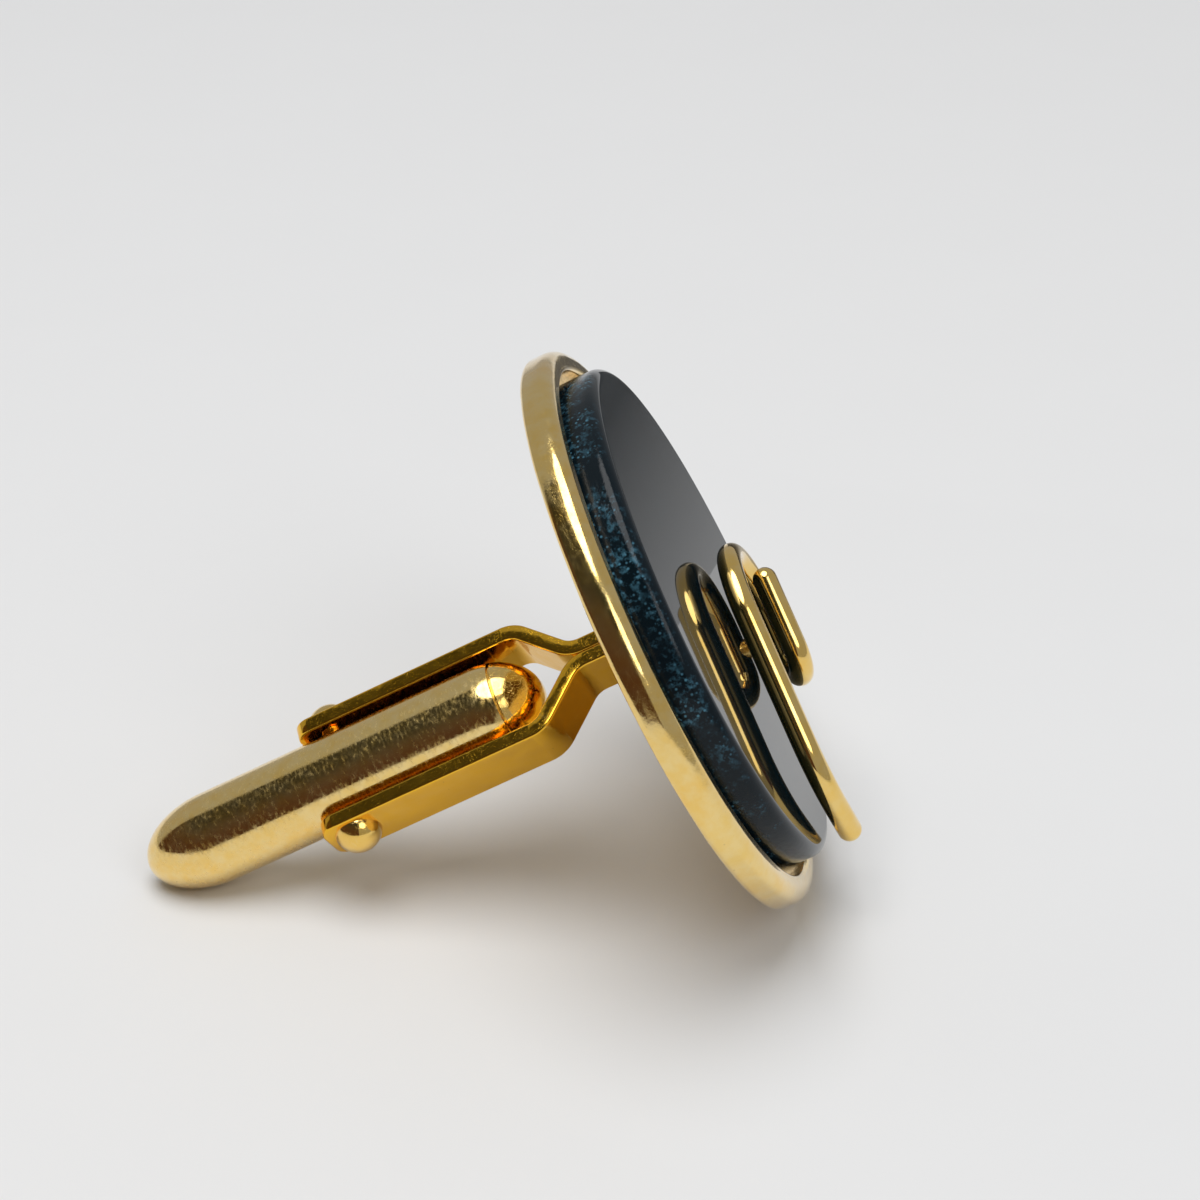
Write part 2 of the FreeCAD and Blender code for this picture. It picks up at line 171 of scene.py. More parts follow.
class ScrollSettings(bpy.types.PropertyGroup):
    """Sizes of the wire scroll and its peg."""

    diameter: length("Diameter", "Thickness of the wire", 0.92)
    lift: length("Lift", "Gap between the wire and the stone", 0.41)
    turn: turn("Turn", "How far the tail is turned from the pin's axis", 27)
    crook_radius: length("Crook radius", "Radius of the crook", 2.55)
    crook_along: length("Crook place", "Where the crook begins along the tail", 0.75)
    run_across: length("Run place", "How far the straight run lies from the stone's middle", 0.35)
    far_run: length("Far run", "Straight stretch between the crook and the curl", 1.35)
    curl_radius: length("Curl radius", "Radius of the curl inside the crook", 1.1)
    curl_tilt: turn("Curl tilt", "How steeply the curl climbs from the stone", 18.5)
    inner_run: length("Inner run", "Straight stretch after the curl", 2.6)
    bend_inset: length("Bend inset", "Where the tail bends, in from the flat's edge", 2.25)
    bend_radius: length("Bend radius", "Radius of the tail's bend", 3.6)
    tail_angle: turn("Tail angle", "Where the tail crosses the stone's edge", 15)
    tail_overhang: length("Tail overhang", "How far the tail runs past the flat", 0.25)
    tail_gap: length("Tail gap", "Gap between the tail and the stone's edge", 0.32)
    peg_diameter: length("Peg diameter", "Thickness of the peg under the wire's far run", 0.8)
    peg_clearance: length("Peg clearance", "Gap round the peg in the stone", 0.05)


class ForkSettings(bpy.types.PropertyGroup):
    """Sizes of the forked post."""

    thickness: length("Thickness", "Thickness of a strip", 0.6)
    width: length("Width", "Width of a strip", 2.2)
    edge_round: length("Edge round", "Rounding of a strip's long edges", 0.1)
    stem: length("Stem", "Length of the stem before the fork opens", 2.64)
    bend_angle: turn("Bend angle", "How far a strip bends outward", 45)
    bend_radius: length("Bend radius", "Radius of a strip's bends", 1.1)
    end: length("End", "How far a strip runs past the pin", 1.2)
    corner: length("Corner", "Rounding of a strip's end corners", 0.7)
    solder: length("Solder", "Reach of the solder round the stem's foot", 0.32)


class PinSettings(bpy.types.PropertyGroup):
    """Sizes of the riveted pivot pin."""

    diameter: length("Diameter", "Thickness of the pin", 1.0)
    flats: length("Flats", "Width across the pin's squared middle", 0.75)
    flats_end: length("Flats end", "Round stretch left at each end of the squared middle", 0.15)
    head_diameter: length("Head diameter", "Width of a riveted head", 1.8)
    head_height: length("Head height", "Height of a riveted head", 0.72)
    seat_clearance: length("Seat clearance", "Gap round the pin in a leg", 0.01)


class ToggleSettings(bpy.types.PropertyGroup):
    """Sizes of the bullet toggle."""

    diameter: length("Diameter", "Thickness of the toggle", 3.5)
    length: length("Length", "Length of the toggle", 16.68)
    wall: length("Wall", "Thickness of the toggle's wall", 0.35)
    side_clearance: length("Side clearance", "Gap between the toggle and a leg", 0.1)
    tip_stretch: number("Tip stretch", "Length of the tip's dome over its radius", 1.66)
    nose_stretch: number("Nose stretch", "Length of the inner dome over its radius", 1.37)
    cap: number("Cap", "Share of the inner dome that is the plug", 0.625, min=0, max=1, subtype="FACTOR")
    spigot: length("Spigot", "Length of the plug's spigot", 1.0)
    spigot_clearance: length("Spigot clearance", "Gap round the plug's spigot", 0.02)
    seam: length("Seam", "Bevel on each side of the plug's seam", 0.06)
    pin_clearance: length("Pin clearance", "Gap round the pin in the toggle", 0.03)


class FinishSettings(bpy.types.PropertyGroup):
    """Colours of the finishes."""

    gold: colour("Gold", "Polished gold-tone plate", 0.88, 0.57, 0.10)
    gold_deep: colour("Deep gold", "Warmer patches of the plate", 0.90, 0.50, 0.025)
    gold_worn: colour("Worn gold", "Plate rubbed pale", 0.90, 0.69, 0.30)
    pit: colour("Pits", "Tiny dark pits in the plate", 0.16, 0.09, 0.03)
    stone: colour("Stone", "Body of the stone", 0.003, 0.008, 0.012)
    fleck: colour("Flecks", "Blue flecks in the stone", 0.07, 0.20, 0.29)
    cement: colour("Cement", "Cement under the stone", 0.42, 0.34, 0.21)
    steel: colour("Steel", "Spring steel", 0.55, 0.56, 0.58)


class StageSettings(bpy.types.PropertyGroup):
    """The floor, the light and the camera. Bearings run clockwise from behind the cufflink."""

    floor: colour("Floor", "Pale floor", 0.80, 0.805, 0.81)
    room: colour("Room", "Light grey room", 0.37, 0.37, 0.37)
    softbox_width: length("Softbox width", "Softbox's width from left to right", 320)
    softbox_depth: length("Softbox depth", "Softbox's width from front to back", 400)
    softbox_place: place("Softbox place", "Where the overhead softbox stands", -50, -25, 400)
    softbox_power: number("Softbox power", "Light of the overhead softbox", 1.20, unit="POWER")
    fill_size: length("Fill size", "Width of the round fill light at the front right", 260)
    fill_distance: length("Fill distance", "Distance of the fill light", 520)
    fill_bearing: turn("Fill bearing", "Where the fill light stands", 148)
    fill_elevation: turn("Fill elevation", "How high the fill light stands", 42)
    fill_power: number("Fill power", "Light of the fill light", 0.38, unit="POWER")
    screen_radius: length("Screen radius", "Distance of the dark curved screen", 450)
    screen_height: length("Screen height", "Height of the dark curved screen", 680)
    screen_start: turn("Screen start", "Bearing at which the screen begins", 174)
    screen_end: turn("Screen end", "Bearing at which the screen ends", 284)
    screen_low: colour("Screen foot", "Warm brown of the screen near the floor", 0.10, 0.045, 0.025)
    screen_high: colour("Screen top", "Grey of the screen higher up", 0.10, 0.095, 0.08)
    flag_place: place("Flag place", "Where the flag that shades the stone's reflection stands", 20.5, 27.4)
    flag_turn: turn("Flag turn", "Bearing that the flag faces", 24)
    flag_width: length("Flag width", "Width of the flag", 24)
    flag_height: length("Flag height", "Height of the flag", 14)
    eye: place("Camera place", "Where the camera stands", 0.734, -100.296, 69.63)
    azimuth: turn("Azimuth", "Camera's angle round the upright, from straight in front", -1.905)
    elevation: turn("Elevation", "Camera's angle above level", 30.117)
    roll: turn("Roll", "Camera's own roll", -1.937)
    lens: number("Lens", "Focal length in millimetres", 96, unit="CAMERA")


class CufflinkSettings(bpy.types.PropertyGroup):
    """All the settings of the cufflink."""

    dish: PointerProperty(type=DishSettings)
    stone: PointerProperty(type=StoneSettings)
    scroll: PointerProperty(type=ScrollSettings)
    fork: PointerProperty(type=ForkSettings)
    pin: PointerProperty(type=PinSettings)
    toggle: PointerProperty(type=ToggleSettings)
    finish: PointerProperty(type=FinishSettings)
    stage: PointerProperty(type=StageSettings)


# Where the pieces lie

def post_frame():
    """The matrix from the post's own axes to the part's frame."""
    across = FACE_WAY.cross(PIN_WAY)
    matrix = Matrix((PIN_WAY, across, FACE_WAY)).transposed().to_4x4()
    matrix.translation = POST_FOOT
    return matrix


def stone_radius(settings):
    """Outside radius of the stone."""
    return settings.dish.radius - settings.dish.rim_width - settings.stone.gap


def stone_base(settings):
    """Height of the stone's underside."""
    return settings.dish.floor + settings.stone.bed


def stone_face(settings):
    """Height of the stone's polished face."""
    return stone_base(settings) + settings.stone.thickness


def leg_inside(settings):
    """Distance of a leg's inner face from the post's axis."""
    return settings.toggle.diameter / 2 + settings.toggle.side_clearance


# Mesh making

def angle_ways(start, end, steps):
    """Cosine and sine of angles that divide the turn from one angle to another in degrees."""
    angles = [math.radians(start + (end - start) * step / steps) for step in range(steps + 1)]
    return [(math.cos(angle), math.sin(angle)) for angle in angles]


def arc(centre, radius, start, end, steps=ROUND_STEPS):
    """Points of a round stretch in a plane, from one angle to another in degrees."""
    ways = angle_ways(start, end, steps)
    return [(centre[0] + radius * cosine, centre[1] + radius * sine) for cosine, sine in ways]


def dome(centre, reach, radius, start, end, steps):
    """Points of a domed outline between two angles in degrees, counted from the dome's end."""
    return [(radius * sine, centre + reach * cosine) for cosine, sine in angle_ways(start, end, steps)]


def between(first, second, steps):
    """Points that divide a straight stretch, without its ends."""
    a = Vector(first)
    b = Vector(second)
    return [tuple(a.lerp(b, step / steps)) for step in range(1, steps)]


def ring_ways(radius, steps):
    """Cosine and sine of the angles round a ring, which is one point where it has no radius."""
    return angle_ways(0, 360, steps)[:-1] if radius else [(0, 0)]


def rounded_box(half_x, half_y, corner):
    """Points round a rectangle with rounded corners."""
    points = []
    for side_x, side_y, start in ((1, 1, 0), (-1, 1, 90), (-1, -1, 180), (1, -1, 270)):
        centre = (side_x * (half_x - corner), side_y * (half_y - corner))
        points += arc(centre, corner, start, start + 90, CORNER_STEPS)
    return points


def join_rings(mesh, first, second):
    """Faces between two rings of vertices, either of which may be a single vertex."""
    count = max(len(first), len(second))
    for step in range(count):
        after = (step + 1) % count
        corners = []
        for ring, spot in ((first, step), (first, after), (second, after), (second, step)):
            vertex = ring[spot % len(ring)]
            if vertex not in corners:
                corners.append(vertex)
        mesh.faces.new(corners)


def skin(outlines):
    """A closed mesh over a row of outlines, each a ring of points or one point, with its ends capped."""
    mesh = bmesh.new()
    rings = [[mesh.verts.new(point) for point in outline] for outline in outlines]
    for first, second in zip(rings, rings[1:]):
        join_rings(mesh, first, second)
    for end in (rings[0], rings[-1]):
        if len(end) > 1:
            mesh.faces.new(end)
    bmesh.ops.recalc_face_normals(mesh, faces=mesh.faces)
    return mesh


def lathe(profile, steps):
    """A mesh turned about Z from points of radius and height that begin and end on the axis."""
    outlines = []
    for radius, height in profile:
        outlines.append([(radius * c, radius * s, height) for c, s in ring_ways(radius, steps)])
    return skin(outlines)


def tube_along(path, radius, steps):
    """A round rod along a path of points, with domed ends."""
    ways = []
    for spot in range(len(path)):
        before = path[max(spot - 1, 0)]
        after = path[min(spot + 1, len(path) - 1)]
        ways.append((after - before).normalized())
    side = ways[0].orthogonal().normalized()
    stations = []
    for point, way in zip(path, ways):
        side = (side - way * side.dot(way)).normalized()
        stations.append((point, way, side, radius))
    head, head_way, head_side, _ = stations[0]
    tail, tail_way, tail_side, _ = stations[-1]
    for narrow, reach in arc((0, 0), radius, 0, 90)[1:-1]:
        stations.insert(0, (head - head_way * reach, head_way, head_side, narrow))
        stations.append((tail + tail_way * reach, tail_way, tail_side, narrow))
    outlines = [[head - head_way * radius]]
    for point, way, across, size in stations:
        other = way.cross(across)
        outlines.append([point + (across * c + other * s) * size for c, s in ring_ways(size, steps)])
    outlines.append([tail + tail_way * radius])
    return skin(outlines)


def roughen(mesh, depth, size, keep):
    """Press shallow dips into a mesh, so that its polish looks done by hand."""
    mesh.normal_update()
    for vertex in mesh.verts:
        if keep(vertex.co):
            dip = (1 + noise.noise(vertex.co / size)) / 2
            vertex.co -= vertex.normal * depth * dip


def object_from(mesh, name, matrix):
    """A new object of this mesh, whose points are moved by a matrix."""
    data = bpy.data.meshes.new(name)
    mesh.to_mesh(data)
    mesh.free()
    data.transform(matrix)
    piece = bpy.data.objects.new(name, data)
    bpy.context.scene.collection.objects.link(piece)
    return piece


def piece_from(mesh, name):
    """A new object of this mesh, placed about the post."""
    return object_from(mesh, name, post_frame())


def drill(piece, start, end, radius):
    """Cut a round hole through a piece, from one point to another."""
    way = end - start
    middle = Matrix.Translation((start + end) / 2) @ way.to_track_quat("Z", "Y").to_matrix().to_4x4()
    rod = bmesh.new()
    bmesh.ops.create_cone(
        rod, cap_ends=True, segments=DRILL_STEPS, radius1=radius, radius2=radius,
        depth=way.length, matrix=middle)
    cutter = piece_from(rod, "drill")
    cut = piece.modifiers.new("Hole", "BOOLEAN")
    cut.operation = "DIFFERENCE"
    cut.solver = "EXACT"
    cut.object = cutter
    solid = piece.data
    graph = bpy.context.evaluated_depsgraph_get()
    piece.data = bpy.data.meshes.new_from_object(piece.evaluated_get(graph))
    piece.modifiers.clear()
    piece.data.name = piece.name
    bpy.data.meshes.remove(solid)
    rod_data = cutter.data
    bpy.data.objects.remove(cutter)
    bpy.data.meshes.remove(rod_data)


def finish_piece(piece, body, slot, material, *nodes):
    """Smooth a piece, dress it, and let it stand for its nodes on its body."""
    data = piece.data
    data.shade_smooth()
    data.set_sharp_from_angle(angle=SMOOTH_ANGLE)
    data.materials.clear()
    data.materials.append(material)
    normals = piece.modifiers.new("Even normals", "WEIGHTED_NORMAL")
    normals.keep_sharp = True
    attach(piece, body)
    if nodes:
        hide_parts(*nodes)


# Node groups and materials

def set_inputs(tree, node, inputs):
    """Set a node's inputs, or link them to what another node gives."""
    for name, value in inputs.items():
        if isinstance(value, bpy.types.NodeSocket):
            tree.links.new(value, node.inputs[name])
        else:
            node.inputs[name].default_value = value


def add_node(tree, kind, inputs, **settings):
    """A new node with its settings, and its inputs set or linked."""
    node = tree.nodes.new(kind)
    for name, value in settings.items():
        setattr(node, name, value)
    set_inputs(tree, node, inputs)
    return node


def maths(tree, operation, first, second=0.0):
    """A number worked out from one or two others."""
    return add_node(tree, "ShaderNodeMath", {0: first, 1: second}, operation=operation).outputs[0]


def product(tree, first, second):
    """Two numbers multiplied."""
    return maths(tree, "MULTIPLY", first, second)


def ranged(tree, value, low, high, to_low=0.0, to_high=1.0):
    """A number carried from one range to another, held at its ends."""
    node = add_node(tree, "ShaderNodeMapRange", {
        "Value": value, "From Min": low, "From Max": high, "To Min": to_low, "To Max": to_high})
    return node.outputs["Result"]


def opaque(rgb):
    """A colour with full alpha."""
    return (*rgb, 1.0)


def mixed(tree, factor, first, second):
    """A colour between two others."""
    node = add_node(tree, "ShaderNodeMix", {0: factor, 6: first, 7: second}, data_type="RGBA")
    return node.outputs[2]


def shaded(tree, mask, rgb, shade):
    """A colour that is darkened to a share of itself where a mask is low."""
    return mixed(tree, mask, opaque(shade * value for value in rgb), opaque(rgb))


def noise_over(tree, spots, scale, detail=2.0, roughness=0.5):
    """Soft noise over the surface."""
    node = add_node(tree, "ShaderNodeTexNoise", {
        "Vector": spots, "Scale": scale, "Detail": detail, "Roughness": roughness})
    return node.outputs["Fac"]


def stretched(tree, spots, **settings):
    """Places moved, turned or stretched."""
    inputs = {name.capitalize(): value for name, value in settings.items()}
    return add_node(tree, "ShaderNodeMapping", {"Vector": spots, **inputs}).outputs["Vector"]


def bumped(tree, height, depth):
    """A normal that follows a height."""
    return add_node(tree, "ShaderNodeBump", {"Height": height, "Distance": depth}).outputs["Normal"]


def own_places(tree):
    """The piece's own coordinates, in metres."""
    return add_node(tree, "ShaderNodeTexCoord", {}).outputs["Object"]


def parts_of(tree, spots):
    """The X, Y and Z of places."""
    return add_node(tree, "ShaderNodeSeparateXYZ", {"Vector": spots}).outputs


def millimetre_places(tree):
    """The piece's own coordinates, in millimetres."""
    inputs = {0: own_places(tree), "Scale": 1 / MM}
    return add_node(tree, "ShaderNodeVectorMath", inputs, operation="SCALE").outputs["Vector"]


def post_places(tree):
    """The piece's own coordinates about the post, in millimetres."""
    inverse = post_frame().inverted()
    return stretched(
        tree, millimetre_places(tree), rotation=inverse.to_euler(), location=inverse.translation / MM)


def new_group(name, inputs, outputs):
    """An empty shader node group that takes places and named values, with its input and output nodes."""
    group = bpy.data.node_groups.new(name, "ShaderNodeTree")
    group.interface.new_socket(name="Place", in_out="INPUT", socket_type="NodeSocketVector")
    for label in inputs:
        group.interface.new_socket(name=label, in_out="INPUT", socket_type="NodeSocketFloat")
    for label in outputs:
        group.interface.new_socket(name=label, in_out="OUTPUT", socket_type="NodeSocketFloat")
    return group, group.nodes.new("NodeGroupInput").outputs, group.nodes.new("NodeGroupOutput")


def polish_group():
    """Marks of hand polishing: slow waves, fine grain and hair scratches, as one height and one mask."""
    name = "Hand polish"
    if name in bpy.data.node_groups:
        return bpy.data.node_groups[name]
    inputs = ("Waves", "Grain", "Scratches", "Mottle")
    group, given, result = new_group(name, inputs, ("Height", "Dullness"))
    spots = given["Place"]
    waves = noise_over(group, spots, scale=0.9, roughness=0.4)
    grain = noise_over(group, spots, scale=11.0, detail=3.0, roughness=0.6)
    drawn = stretched(group, spots, rotation=(0.5, 0.3, 0.9), scale=(26.0, 1.4, 26.0))
    hairs = ranged(group, noise_over(group, drawn, scale=1.0), low=0.60, high=0.72)
    scratches = product(group, hairs, given["Scratches"])
    height = maths(
        group, "ADD", product(group, waves, given["Waves"]), product(group, grain, given["Grain"]))
    squeezed = stretched(group, spots, scale=(1.0, 1.0, 2.0))
    cloudy = noise_over(group, squeezed, scale=given["Mottle"], detail=4.0, roughness=0.6)
    set_inputs(group, result, {
        "Height": maths(group, "SUBTRACT", height, scratches),
        "Dullness": maths(group, "ADD", ranged(group, cloudy, low=0.36, high=0.66), scratches)})
    return group


def wear_group():
    """Wear of the plating: pale rubbed edges and tiny dark pits, as two masks."""
    name = "Plating wear"
    if name in bpy.data.node_groups:
        return bpy.data.node_groups[name]
    group, given, result = new_group(name, ("Edges", "Pits"), ("Rubbed", "Pitted"))
    spots = given["Place"]
    pointed = add_node(group, "ShaderNodeNewGeometry", {}).outputs["Pointiness"]
    edge = ranged(group, pointed, low=0.52, high=0.62)
    broken = ranged(group, noise_over(group, spots, scale=2.2, detail=3.0), low=0.38, high=0.62)
    cells = add_node(group, "ShaderNodeTexVoronoi", {"Vector": spots, "Scale": 3.0}).outputs["Distance"]
    dots = ranged(group, cells, low=0.10, high=0.05)
    some = ranged(group, noise_over(group, spots, scale=0.8), low=0.52, high=0.60)
    set_inputs(group, result, {
        "Rubbed": product(group, product(group, edge, broken), given["Edges"]),
        "Pitted": product(group, product(group, dots, some), given["Pits"])})
    return group


def new_material(name):
    """An empty node material and its surface shader."""
    material = bpy.data.materials.new(name)
    material.use_nodes = True
    tree = material.node_tree
    tree.nodes.clear()
    surface = tree.nodes.new("ShaderNodeBsdfPrincipled")
    add_node(tree, "ShaderNodeOutputMaterial", {"Surface": surface.outputs["BSDF"]})
    return material, tree, surface


def gold_material(name, finish, dull, waves, grain, scratches, pale, smooth=0.05, edges=0.4, pits=0.3,
                  relief=0.02, mottle=1.6, deep=0.0, coat=0.6):
    """Lacquered gold-tone plate with its own mix of polish marks and wear, turned about the post."""
    material, tree, surface = new_material(name)
    spots = post_places(tree)
    polish = add_node(tree, "ShaderNodeGroup", {}, node_tree=polish_group())
    set_inputs(tree, polish, {
        "Place": spots, "Waves": waves, "Grain": grain, "Scratches": scratches, "Mottle": mottle})
    wear = add_node(tree, "ShaderNodeGroup", {}, node_tree=wear_group())
    set_inputs(tree, wear, {"Place": spots, "Edges": edges, "Pits": pits})
    worn = opaque(finish.gold_worn)
    patches = noise_over(tree, spots, scale=0.35, detail=3.0)
    patches = ranged(tree, patches, low=0.4 - deep, high=0.72 - deep)
    tone = mixed(tree, patches, opaque(finish.gold), opaque(finish.gold_deep))
    clouds = noise_over(tree, spots, scale=1.8, detail=4.0, roughness=0.6)
    clouds = ranged(tree, clouds, low=0.36, high=0.64, to_low=pale / 2, to_high=pale)
    tone = mixed(tree, clouds, tone, worn)
    tone = mixed(tree, wear.outputs["Rubbed"], tone, worn)
    set_inputs(tree, surface, {
        "Base Color": mixed(tree, wear.outputs["Pitted"], tone, opaque(finish.pit)),
        "Roughness": ranged(tree, polish.outputs["Dullness"], 0.0, 1.0, smooth, dull),
        "Normal": bumped(tree, polish.outputs["Height"], relief * MM),
        "Metallic": 1.0,
        "Coat Weight": coat,
        "Coat Roughness": COAT_ROUGHNESS,
        "Coat IOR": COAT_IOR})
    return material


def stone_material(settings):
    """Blue-black stone: a mirror face, and a duller flecked wall."""
    finish = settings.finish
    material, tree, surface = new_material("Blue-black stone")
    spots = post_places(tree)
    parts = parts_of(tree, spots)
    squares = [product(tree, parts[axis], parts[axis]) for axis in ("X", "Y")]
    from_axis = maths(tree, "SQRT", maths(tree, "ADD", *squares))
    edge = stone_radius(settings) / MM
    wall = ranged(tree, from_axis, low=edge - 0.2, high=edge - 0.01)
    cloud = ranged(tree, noise_over(tree, spots, scale=0.6, detail=3.0), low=0.42, high=0.62)
    grains = noise_over(tree, spots, scale=3.6, detail=4.0, roughness=0.7)
    speck = ranged(tree, grains, low=0.50, high=0.68, to_high=0.7)
    cells = add_node(tree, "ShaderNodeTexVoronoi", {"Vector": spots, "Scale": 4.5}).outputs["Distance"]
    spark = ranged(tree, cells, low=0.28, high=0.08)
    flecks = product(tree, cloud, maths(tree, "ADD", speck, spark))
    flecks = product(tree, flecks, ranged(tree, wall, 0.0, 1.0, to_low=0.06))
    wall_grains = product(tree, wall, grains)
    polish = ranged(tree, wall, 0.0, 1.0, to_low=0.02, to_high=0.05)
    set_inputs(tree, surface, {
        "Base Color": mixed(tree, flecks, opaque(finish.stone), opaque(finish.fleck)),
        "Roughness": maths(tree, "ADD", polish, product(tree, wall_grains, 0.12)),
        "Normal": bumped(tree, wall_grains, STONE_RELIEF),
        "IOR": STONE_IOR})
    return material


def grained_material(name, rgb, shade, scale, detail, grit, smooth, dull, relief, metallic):
    """Cement or rolled steel, whose colour, roughness and relief follow one grain."""
    material, tree, surface = new_material(name)
    spots = stretched(tree, millimetre_places(tree), scale=scale)
    grain = noise_over(tree, spots, scale=1.0, detail=detail, roughness=grit)
    set_inputs(tree, surface, {
        "Base Color": shaded(tree, grain, rgb, shade),
        "Roughness": ranged(tree, grain, low=0.3, high=0.7, to_low=smooth, to_high=dull),
        "Normal": bumped(tree, grain, relief * MM),
        "Metallic": metallic})
    return material


# The pieces

class CUFFLINK_OT_back_plate(bpy.types.Operator):
    """Turn the dish with its hand-polished rim"""

    bl_idname = "cufflink.back_plate"
    bl_label = "Back plate"

    def execute(self, context):
        settings = context.scene.cufflink
        dish = settings.dish
        lip = dish.radius - dish.rim_width
        rim_inside = lip + dish.lip_round
        front_corner = (dish.radius - dish.front_round, dish.thickness - dish.front_round)
        back = arc((dish.radius - dish.back_round, dish.back_round), dish.back_round, -90, 0)
        front = arc(front_corner, dish.front_round, 0, 90)
        inner = arc((rim_inside, dish.thickness - dish.lip_round), dish.lip_round, 90, 180)
        profile = [(0, 0)] + between((0, 0), back[0], DISH_BACK_STEPS) + back
        profile += between(back[-1], front[0], RIM_STEPS) + front
        profile += between(front[-1], inner[0], RIM_STEPS) + inner
        profile += [(lip, dish.floor), (0, dish.floor)]
        mesh = lathe(profile, LATHE_STEPS)
        roughen(mesh, dish.unevenness, dish.dip_size, lambda spot: spot.xy.length > rim_inside)
        material = gold_material(
            "Rim gold", settings.finish, dull=0.20, waves=1.2, grain=0.10, scratches=0.04, pale=0.8,
            edges=0.5, pits=0.6, mottle=2.4)
        finish_piece(piece_from(mesh, "gold_back_plate"), "face", "gold_plate", material, "back_plate")
        return {"FINISHED"}


class CUFFLINK_OT_stone(bpy.types.Operator):
    """Turn the bevelled stone and drill it for the scroll's peg"""

    bl_idname = "cufflink.stone"
    bl_label = "Stone"

    def execute(self, context):
        settings = context.scene.cufflink
        stone = settings.stone
        scroll = settings.scroll
        radius = stone_radius(settings)
        base = stone_base(settings)
        face = stone_face(settings)
        # The round that touches the bevel's middle
        polished = stone.bevel / (2 - math.sqrt(2))
        profile = [(0, base), (radius - stone.edge_round, base), (radius, base + stone.edge_round)]
        profile += arc((radius - polished, face - polished), polished, 0, 90, ROUND_STEPS * 2)
        profile += [(0, face)]
        piece = piece_from(lathe(profile, LATHE_STEPS), "polished_stone")
        peg = peg_place(scroll)
        ends = [over_stone(settings, *peg, height) for height in (base - stone.bed, face + stone.bed)]
        drill(piece, *ends, scroll.peg_diameter / 2 + scroll.peg_clearance)
        finish_piece(piece, "face", "polished_stone", stone_material(settings), "stone")
        return {"FINISHED"}


def over_stone(settings, along, across, height):
    """A point over the stone, from its place along and across the scroll's tail."""
    turned = Matrix.Rotation(settings.scroll.turn, 3, "Z")
    return turned @ Vector((along, across, height))


def peg_place(scroll):
    """Where the peg stands, along and across the tail: under the middle of the wire's far run."""
    return scroll.crook_along + scroll.far_run / 2, scroll.run_across + 2 * scroll.crook_radius


def soft_corner(before, corner, after, radius):
    """Points that round off a corner between two straight stretches."""
    back = (before - corner).normalized()
    on = (after - corner).normalized()
    half = (math.pi - back.angle(on)) / 2
    run = radius * math.tan(half)
    centre = corner + (back + on).normalized() * (radius / math.cos(half))
    start = corner + back * run - centre
    end = corner + on * run - centre
    ways = [start.lerp(end, step / BEND_STEPS).normalized() for step in range(BEND_STEPS + 1)]
    return [centre + way * radius for way in ways]


def scroll_path(settings):
    """The wire's middle line: tail tip, bend, near run, crook, far run, climbing curl and inner run."""
    scroll = settings.scroll
    radius = scroll.diameter / 2
    level = stone_face(settings) + scroll.lift + radius
    flat = stone_radius(settings) - settings.stone.bevel
    edge = over_stone(settings, flat * math.cos(scroll.tail_angle), flat * math.sin(scroll.tail_angle),
                      stone_face(settings) + radius + scroll.tail_gap)
    bend = over_stone(settings, flat - scroll.bend_inset, scroll.run_across, level)
    run_end = over_stone(settings, scroll.crook_along, scroll.run_across, level)
    tip = edge + (edge - bend).normalized() * scroll.tail_overhang
    path = [tip] + soft_corner(tip, bend, run_end, scroll.bend_radius)
    middle = scroll.run_across + scroll.crook_radius
    for along, across in arc((scroll.crook_along, middle), scroll.crook_radius, -90, -270, CROOK_STEPS):
        path.append(over_stone(settings, along, across, level))
    far_along = scroll.crook_along + scroll.far_run
    far_end = over_stone(settings, far_along, middle + scroll.crook_radius, level)
    ahead = over_stone(settings, 1, 0, 0)
    climb = over_stone(settings, 0, -math.cos(scroll.curl_tilt), math.sin(scroll.curl_tilt))
    for forward, up in arc((0, scroll.curl_radius), scroll.curl_radius, -90, 90, CURL_STEPS):
        path.append(far_end + ahead * forward + climb * up)
    path.append(path[-1] - ahead * scroll.inner_run)
    return path


class CUFFLINK_OT_scroll(bpy.types.Operator):
    """Bend the scroll's round wire over the stone"""

    bl_idname = "cufflink.scroll"
    bl_label = "Wire scroll"

    def execute(self, context):
        settings = context.scene.cufflink
        mesh = tube_along(scroll_path(settings), settings.scroll.diameter / 2, WIRE_STEPS)
        material = gold_material(
            "Wire gold", settings.finish, dull=0.12, waves=0.35, grain=0.04, scratches=0.04, pale=0.6,
            smooth=0.04, relief=0.015)
        finish_piece(piece_from(mesh, "gold_scroll_wire"), "face", "gold_plate", material, "scroll_wire")
        return {"FINISHED"}


def rounded_off(distance, radius):
    """How much a rounded end takes off each side, at this distance from the end."""
    if distance >= radius:
        return 0.0
    return radius - math.sqrt(radius ** 2 - (radius - distance) ** 2)


